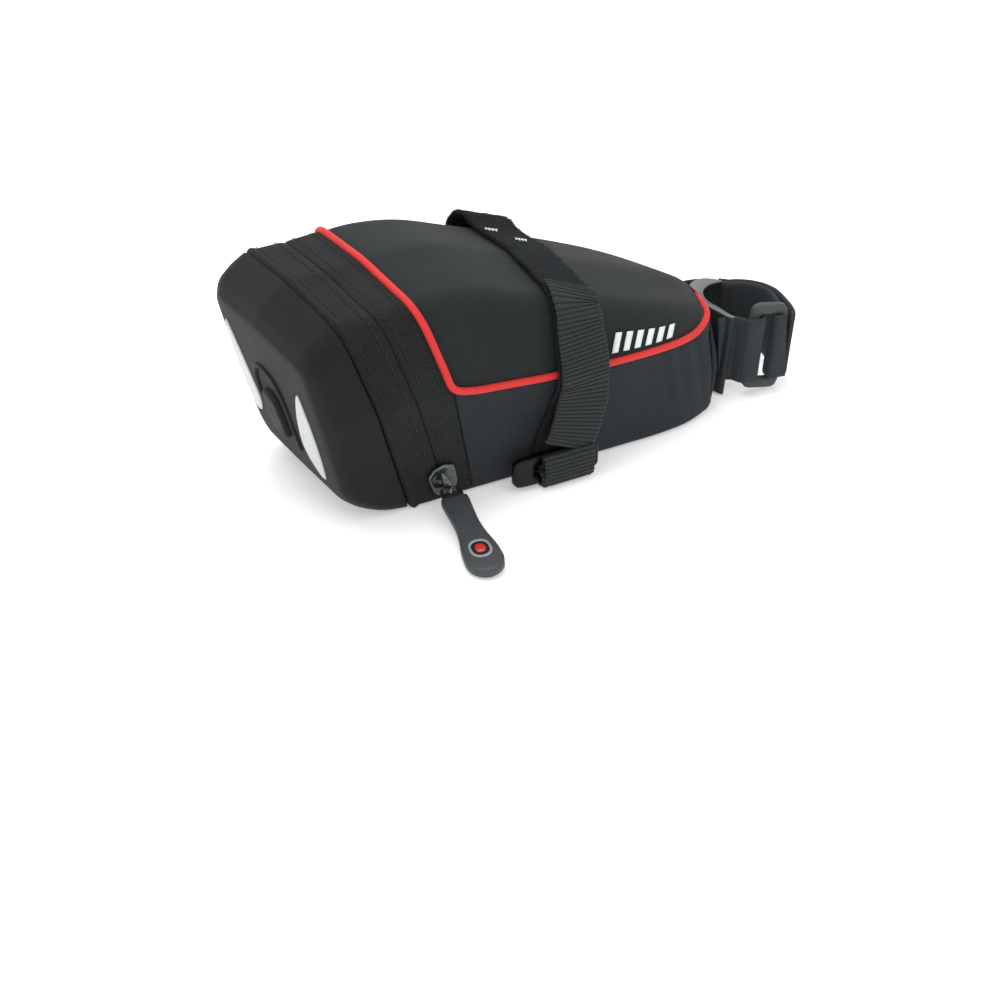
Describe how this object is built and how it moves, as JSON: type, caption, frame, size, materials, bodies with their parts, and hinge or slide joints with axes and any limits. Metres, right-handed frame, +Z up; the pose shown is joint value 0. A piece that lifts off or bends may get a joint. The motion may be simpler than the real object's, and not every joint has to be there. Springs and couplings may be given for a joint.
{
  "type": "saddle bag",
  "caption": "Wedge-shaped bicycle saddle bag with a zipped rear cap, a hook-and-loop saddle strap through a buckle, and a rubber-backed seat post strap.",
  "frame": {"origin": "on the flat underside of the bag, on its centre plane, 34 mm in front of the cap's hinge line", "axes": "+X towards the seat post (the bag's narrow nose), +Y to the bag's left side, +Z up"},
  "size_m": [0.212, 0.1291, 0.0846],
  "materials": {
    "shell_fabric": "tightly woven black polyester over foam",
    "side_fabric": "fine ripstop weave, charcoal with a blue cast",
    "band_fabric": "dull black mottled weave, coated",
    "cap_fabric": "smooth black fabric laminated on moulded foam",
    "foam": "closed-cell foam padding",
    "lining_fabric": "thin grey-black lining",
    "piping_red": "red woven piping, lightly coated",
    "zip_coil": "black nylon coil",
    "reflective": "silver-grey reflective film",
    "light_mount_rubber": "black moulded rubber",
    "gunmetal": "dark plated zinc, satin",
    "puller_rubber": "charcoal soft-touch rubber",
    "badge": "plain red dot in a light grey oval",
    "loop_tape": "brushed loop tape, fuzzy edges, ribbed webbing on its lower run",
    "webbing": "black ribbed polyester webbing, 20 mm",
    "tack_thread": "white bar-tack thread",
    "buckle_plastic": "glossy black moulded nylon",
    "post_buckle_plastic": "charcoal moulded nylon",
    "cradle_rubber": "grey soft rubber, non-slip",
    "post_webbing": "black loop-faced strap, 25 mm"
  },
  "bodies": {
    "bag": {"top_panel": "shell_fabric", "side_panel_right": "side_fabric", "side_panel_left": "side_fabric", "bottom_panel": "shell_fabric", "nose_panel": "shell_fabric", "front_zip_band": "band_fabric", "foam_wall": "foam", "lining": "lining_fabric", "piping": "piping_red", "zip_coil_front": "zip_coil", "cap_hinge_strip": "band_fabric", "saddle_strap": "loop_tape", "strap_tacks": "tack_thread", "saddle_buckle": "buckle_plastic", "buckle_anchor": "webbing", "cradle_strip": "post_webbing"},
    "cap": {"rear_cap": "cap_fabric", "cap_lining": "lining_fabric", "rear_zip_band": "band_fabric", "zip_coil_rear": "zip_coil", "reflector_right": "reflective", "reflector_left": "reflective", "light_arch": "light_mount_rubber", "light_loop": "light_mount_rubber"},
    "slider": {"zip_slider": "gunmetal"},
    "pull": {"pull_link": "gunmetal", "puller": "puller_rubber", "puller_badge": "badge"},
    "saddle_tab": {"saddle_strap_tab": "webbing"},
    "cradle": {"post_cradle": "cradle_rubber", "post_strap": "post_webbing", "post_buckle": "post_buckle_plastic"},
    "post_tab": {"post_strap_tab": "post_webbing"}
  },
  "joints": [
    {"name": "rear_cap_hinge", "type": "hinge", "parent": "bag", "child": "cap", "pos_m": [-0.034, 0, 0], "axis": [0, -1, 0], "range_deg": [0, 65]},
    {"name": "zip_slide", "type": "slide", "parent": "bag", "child": "slider", "axis": [-0.3347, -0.1941, 0.9221], "range_m": [0, 0.034]},
    {"name": "puller_swing", "type": "hinge", "parent": "slider", "child": "pull", "pos_m": [-0.03651, -0.03656, 0.00706], "axis": [0.9695, -0.2275, 0.0911], "range_deg": [-44, 84]},
    {"name": "saddle_tab_peel", "type": "hinge", "parent": "bag", "child": "saddle_tab", "pos_m": [0.0076, -0.043, 0.0143], "axis": [1, 0, 0], "range_deg": [0, 95]},
    {"name": "cradle_swivel", "type": "hinge", "parent": "bag", "child": "cradle", "pos_m": [0.08249, 0, 0.0016], "axis": [0.1122, -0.0249, 0.9934], "range_deg": [-8, 10]},
    {"name": "post_tab_peel", "type": "hinge", "parent": "cradle", "child": "post_tab", "pos_m": [0.11133, -0.02616, 0.01379], "axis": [-0.1122, 0.0249, -0.9934], "range_deg": [0, 110]}
  ]
}
